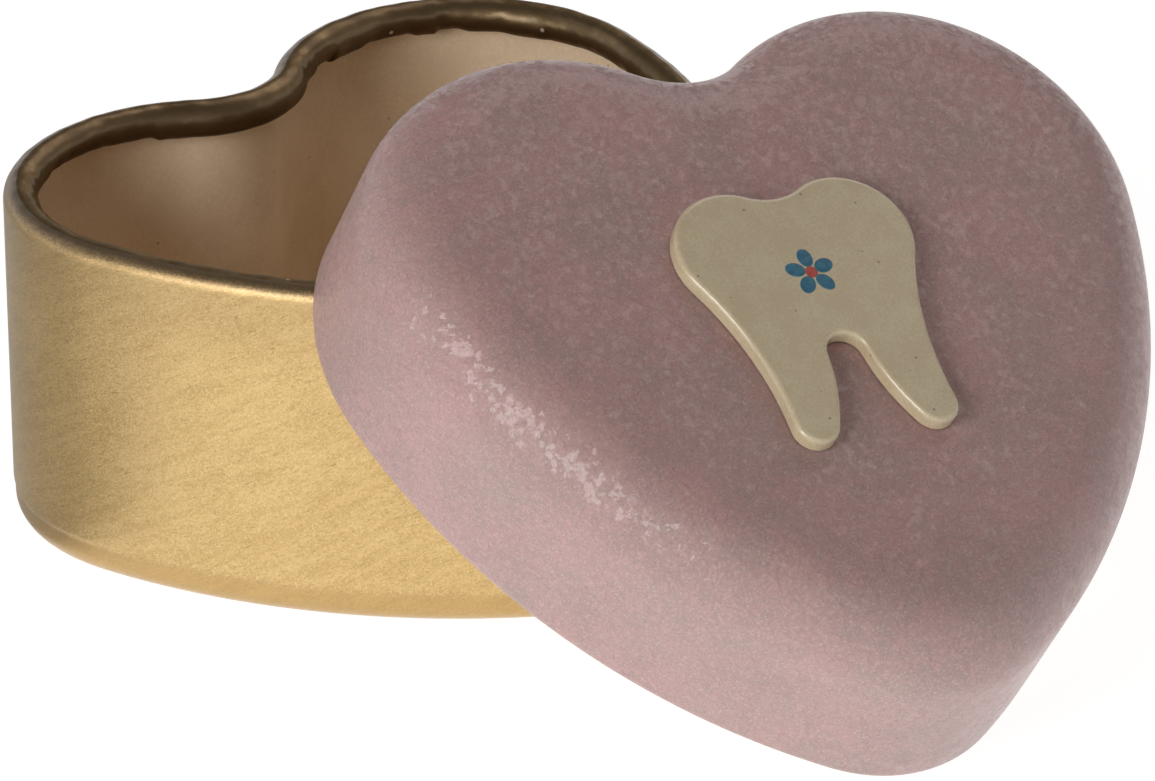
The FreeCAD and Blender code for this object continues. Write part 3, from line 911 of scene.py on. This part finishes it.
@dataclass
class ToothBadge:
    """The tooth badge with its film of glue, and a small printed rosette on its face."""

    body: ClassVar[str] = "lid"
    node: ClassVar[str] = "tooth_badge"
    glue_node: ClassVar[str] = "badge_adhesive"
    slot: ClassVar[str] = "cream_enamel"
    side: float = -1.1
    drop: float = 4.7
    face: float = 17.52
    rosette_rise: float = -2.6
    petals: int = 5
    petal_reach: float = 1.18
    petal_length: float = 0.74
    petal_width: float = 0.56
    heart_radius: float = 0.46
    ink_height: float = 0.045
    dab_corners: int = 40
    blue: PrintInk = PrintInk("blue_ink_finish", (0.024, 0.140, 0.225), (0.045, 0.200, 0.300))
    red: PrintInk = PrintInk("red_ink_finish", (0.470, 0.062, 0.048), (0.560, 0.105, 0.080))

    def dab(self, middle: tuple[float, float], long: float, wide: float, angle: float,
            spots: list[Place], faces: list[tuple[int, ...]]) -> None:
        """Adds one domed dab of ink, an oval with a soft rim.

        Args:
            middle: the dab's middle on the face.
            long: half its length.
            wide: half its width.
            angle: the way that its length points.
            spots: the mesh's points so far.
            faces: the mesh's faces so far.
        """
        around = self.dab_corners
        rings = ((1.0, 0.0), (0.98, 0.55), (0.90, 0.85), (0.6, 1.0))
        start = len(spots)
        for share, lift in rings:
            for k in range(around):
                turn = math.tau * k / around
                along, across = share * long * math.cos(turn), share * wide * math.sin(turn)
                spots.append((middle[0] + along * math.cos(angle) - across * math.sin(angle),
                              middle[1] + along * math.sin(angle) + across * math.cos(angle),
                              self.face + lift * self.ink_height))
        for level in range(len(rings) - 1):
            for k in range(around):
                after = (k + 1) % around
                low, high = start + level * around, start + (level + 1) * around
                faces.append((low + k, low + after, high + after, high + k))
        top = start + (len(rings) - 1) * around
        faces.append(tuple(range(top, top + around)))
        faces.append(tuple(reversed(range(start, start + around))))

    def print_mesh(self, name: str, dabs: Sequence[tuple[tuple[float, float], float, float, float]],
                   pose: LeaningPose) -> bpy.types.Mesh:
        """Builds a mesh of ink dabs on the badge's face.

        Args:
            name: the mesh's name.
            dabs: middle, half length, half width and angle of each dab.
            pose: how the lid leans.

        Returns:
            The mesh, in the row frame.
        """
        spots: list[Place] = []
        faces: list[tuple[int, ...]] = []
        for middle, long, wide, angle in dabs:
            self.dab(middle, long, wide, angle, spots, faces)
        way = pose.matrix()
        mesh = bpy.data.meshes.new(name)
        mesh.from_pydata([way @ (Vector(spot) * MM) for spot in spots], [], faces)
        mesh.shade_smooth()
        mesh.update()
        return mesh

    def build(self, pose: LeaningPose) -> list[bpy.types.Object]:
        """Dresses the badge and its glue, and prints the rosette.

        Args:
            pose: how the lid leans.

        Returns:
            The pieces made.
        """
        dress_node(self.node, CreamEnamel())
        dress_node(self.glue_node, SetGlue())
        middle = (self.side, self.rosette_rise - self.drop)
        petals = []
        for k in range(self.petals):
            angle = math.pi / 2.0 + math.tau * k / self.petals
            spot = (middle[0] + self.petal_reach * math.cos(angle),
                    middle[1] + self.petal_reach * math.sin(angle))
            petals.append((spot, self.petal_length, self.petal_width, angle))
        heart = (middle, self.heart_radius, self.heart_radius, 0.0)
        petal_mesh = self.print_mesh("rosette_petals", petals, pose)
        heart_mesh = self.print_mesh("rosette_middle", [heart], pose)
        return [fit_piece(petal_mesh, self.body, [], [self.blue]),
                fit_piece(heart_mesh, self.body, [], [self.red])]


def fit_piece(mesh: bpy.types.Mesh, body: str, nodes: Sequence[str],
              finishes: Sequence[Finish]) -> bpy.types.Object:
    """Makes an object of a mesh, dresses it and ties it to the frame.

    Args:
        mesh: the finished mesh, in the row frame.
        body: the body that it moves with.
        nodes: the nodes that it stands for.
        finishes: the finish of each material slot.

    Returns:
        The piece.
    """
    piece = bpy.data.objects.new(mesh.name, mesh)
    bpy.context.scene.collection.objects.link(piece)
    for finish in finishes:
        mesh.materials.append(finish.material())
    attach(piece, body)
    if nodes:
        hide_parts(*nodes)
    return piece


def dress_node(node: str, finish: Finish) -> None:
    """Gives a node of the frame its finish in every material slot.

    Args:
        node: the node's name.
        finish: what it wears.
    """
    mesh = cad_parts[node].data
    for number in range(len(mesh.materials)):
        mesh.materials[number] = finish.material()


@dataclass
class Lamp:
    """One soft oval lamp that looks at the tin: direction in degrees, distance and sizes in metres."""

    name: str
    azimuth: float
    elevation: float
    level: float
    distance: float = 0.80
    width: float = 0.60
    height: float = 0.60
    colour: Colour = WHITE

    def build(self, target: Vector) -> None:
        """Hangs the lamp.

        Args:
            target: the point that it looks at.
        """
        light = bpy.data.lights.new(self.name, "AREA")
        light.shape = "ELLIPSE"
        light.size = self.width
        light.size_y = self.height
        light.color = self.colour
        light.energy = self.level * (math.pi * self.distance) ** 2
        lamp = bpy.data.objects.new(self.name, light)
        back = look_back(self.azimuth, self.elevation)
        lamp.location = target + back * self.distance
        lamp.rotation_euler = back.to_track_quat("Z", "Y").to_euler()
        bpy.context.scene.collection.objects.link(lamp)


def look_back(azimuth: float, elevation: float) -> Vector:
    """Gives the direction from the tin to a viewer, with azimuth 0 in front at -Y."""
    around, above = math.radians(azimuth), math.radians(elevation)
    flat = math.cos(above)
    return Vector((math.sin(around) * flat, -math.cos(around) * flat, math.sin(above)))


@dataclass
class Studio:
    """A pale floor, soft lamps, a white surround and the camera, places in millimetres.

    Gloss mirrors a dim far corner of the floor and a dim ceiling, which the camera itself sees as white.
    """

    target: Place = (18.180, 4.091, 0.0)
    azimuth: float = -45.398
    elevation: float = 26.545
    distance: float = 548.405
    focal_pixels: float = 7264.817
    lamp_target: Place = (0.0, -15.0, 12.0)
    cool: Colour = (0.82, 1.0, 1.0)
    warm: Colour = (1.0, 0.92, 0.90)
    floor_reach: float = 2500.0
    floor_drop: float = 0.02
    floor_corners: int = 96
    floor_colour: Colour = (0.82, 0.82, 0.82)
    floor_trace: Colour = (0.30, 0.30, 0.30)
    floor_cloud: float = 60.0
    floor_dip: float = 0.97
    floor_sheer: float = 0.5
    floor_glow: float = 0.90
    floor_dusk: float = 0.15
    glow_reach: float = 38.0
    glow_slant: float = 0.0711
    glow_fade: float = 6.0
    dusk_corner: Place = (-27.4, 7.6, 0.0)
    dusk_azimuth: float = 160.0
    dusk_from: float = -14.0
    dusk_full: float = 5.0
    sky: float = 0.09
    sky_colour: Colour = (1.0, 0.91, 0.88)
    ceiling: float = 0.15
    ceiling_from: float = 0.20
    ceiling_full: float = 0.60
    ceiling_tilt: float = 0.20

    def glow(self, sheet: NodeSheet) -> Socket:
        """Grades how bright the floor looks: even, but dim in the corner that only gloss mirrors.

        Args:
            sheet: the floor's nodes.

        Returns:
            The floor's own brightness.
        """
        around = math.radians(self.azimuth)
        across = (math.cos(around) - self.glow_slant * math.sin(around),
                  math.sin(around) + self.glow_slant * math.cos(around), 0.0)
        edge = Vector(self.target).dot(Vector(across)) - self.glow_reach
        beside = sheet.spread(sheet.along(sheet.place(), across), edge * MM, (edge - self.glow_fade) * MM)
        away = look_back(self.dusk_azimuth, 0.0)
        corner = Vector(self.dusk_corner).dot(away)
        behind = sheet.spread(sheet.along(sheet.place(), away),
                              (corner + self.dusk_from) * MM, (corner + self.dusk_full) * MM)
        mirrored = sheet.add("ShaderNodeLightPath").outputs["Is Glossy Ray"]
        dusk = sheet.times(beside, behind, mirrored)
        return sheet.spread(dusk, 0.0, 1.0, self.floor_glow, self.floor_dusk)

    def floor(self) -> None:
        """Lays the pale floor, which stays white to the camera and keeps the tin's shadow."""
        material = bpy.data.materials.new("pale_floor_finish")
        sheet = NodeSheet(material)
        clouds = sheet.noise(sheet.place(), self.floor_cloud)
        tone = sheet.spread(clouds, NOISE_LOW, NOISE_HIGH, self.floor_dip, 1.0)
        inputs = {0: self.floor_colour, 3: tone}
        colour = sheet.add("ShaderNodeVectorMath", inputs, operation="SCALE").outputs[0]
        matte = sheet.add("ShaderNodeBsdfDiffuse", {"Color": colour}).outputs[0]
        sheer = sheet.add("ShaderNodeBsdfTranslucent", {"Color": colour}).outputs[0]
        plain = sheet.add("ShaderNodeMixShader", {0: self.floor_sheer, 1: matte, 2: sheer}).outputs[0]
        faint = sheet.add("ShaderNodeBsdfDiffuse", {"Color": rgba(self.floor_trace)}).outputs[0]
        glow = sheet.add("ShaderNodeEmission", {"Strength": self.glow(sheet)}).outputs[0]
        both = sheet.add("ShaderNodeAddShader", {0: faint, 1: glow}).outputs[0]
        inputs = {0: sheet.background_share(), 1: plain, 2: both}
        shown = sheet.add("ShaderNodeMixShader", inputs).outputs[0]
        sheet.add("ShaderNodeOutputMaterial", {"Surface": shown})
        turns = [math.tau * k / self.floor_corners for k in range(self.floor_corners)]
        reach, drop = self.floor_reach * MM, self.floor_drop * MM
        spots = [(reach * math.cos(turn), reach * math.sin(turn), -drop) for turn in turns]
        mesh = bpy.data.meshes.new("pale_floor")
        mesh.from_pydata(spots, [], [tuple(range(self.floor_corners))])
        mesh.materials.append(material)
        floor = bpy.data.objects.new("pale_floor", mesh)
        bpy.context.scene.collection.objects.link(floor)

    def surround(self) -> None:
        """Sets a dim even sky that is white to the camera and in reflections, there below a dim ceiling."""
        world = bpy.data.worlds.new("studio_surround")
        sheet = NodeSheet(world)
        inputs = {"Color": rgba(self.sky_colour), "Strength": self.sky}
        dim = sheet.add("ShaderNodeBackground", inputs).outputs[0]
        front = look_back(self.azimuth, 0.0) * self.ceiling_tilt
        rise = sheet.along(sheet.place("Generated"), (-front.x, -front.y, 1.0))
        grade = sheet.spread(rise, self.ceiling_from, self.ceiling_full, 1.0, self.ceiling)
        seen = sheet.add("ShaderNodeLightPath").outputs["Is Camera Ray"]
        inputs = {"Color": rgba(WHITE), "Strength": sheet.join("MAXIMUM", grade, seen)}
        white = sheet.add("ShaderNodeBackground", inputs).outputs[0]
        inputs = {0: sheet.background_share(), 1: dim, 2: white}
        mixed = sheet.add("ShaderNodeMixShader", inputs).outputs[0]
        sheet.add("ShaderNodeOutputWorld", {"Surface": mixed})
        bpy.context.scene.world = world

    def camera(self) -> None:
        """Sets the camera where the photograph was taken from."""
        data = bpy.data.cameras.new("photo_camera")
        data.sensor_fit = "HORIZONTAL"
        data.sensor_width = SENSOR_WIDTH
        data.lens = self.focal_pixels / PHOTO_WIDTH * SENSOR_WIDTH
        data.clip_start = CLIP_START
        camera = bpy.data.objects.new("photo_camera", data)
        back = look_back(self.azimuth, self.elevation)
        around = math.radians(self.azimuth)
        right = Vector((math.cos(around), math.sin(around), 0.0))
        up = back.cross(right)
        spin = Matrix((right, up, back)).transposed().to_4x4()
        camera.matrix_world = Matrix.Translation((Vector(self.target) + back * self.distance) * MM) @ spin
        bpy.context.scene.collection.objects.link(camera)
        bpy.context.scene.camera = camera

    def build(self) -> None:
        """Builds the whole stage."""
        lamps = (
            Lamp("table_panel", 40.0, -75.0, level=2.18, distance=0.45, colour=self.cool),
            Lamp("left_panel", -82.0, 22.0, level=0.46, width=0.44, height=0.40),
            Lamp("back_panel", 110.0, 45.0, level=0.19, colour=self.warm),
            Lamp("far_panel", -150.0, 35.0, level=0.08),
            Lamp("right_panel", 50.0, 40.0, level=0.05, colour=self.warm),
        )
        for lamp in lamps:
            lamp.build(Vector(self.lamp_target) * MM)
        self.floor()
        self.surround()
        self.camera()
        bpy.context.scene.view_settings.view_transform = "Standard"


def main() -> None:
    """Builds the tin and its stage in order."""
    logging.basicConfig(level=logging.INFO, format="%(name)s: %(message)s")
    pose = LeaningPose()
    lid = LidTin()
    pieces = BaseTin().build(lid.heart) + lid.build(pose) + ToothBadge().build(pose)
    Studio().build()


if __name__ == "__main__":
    main()
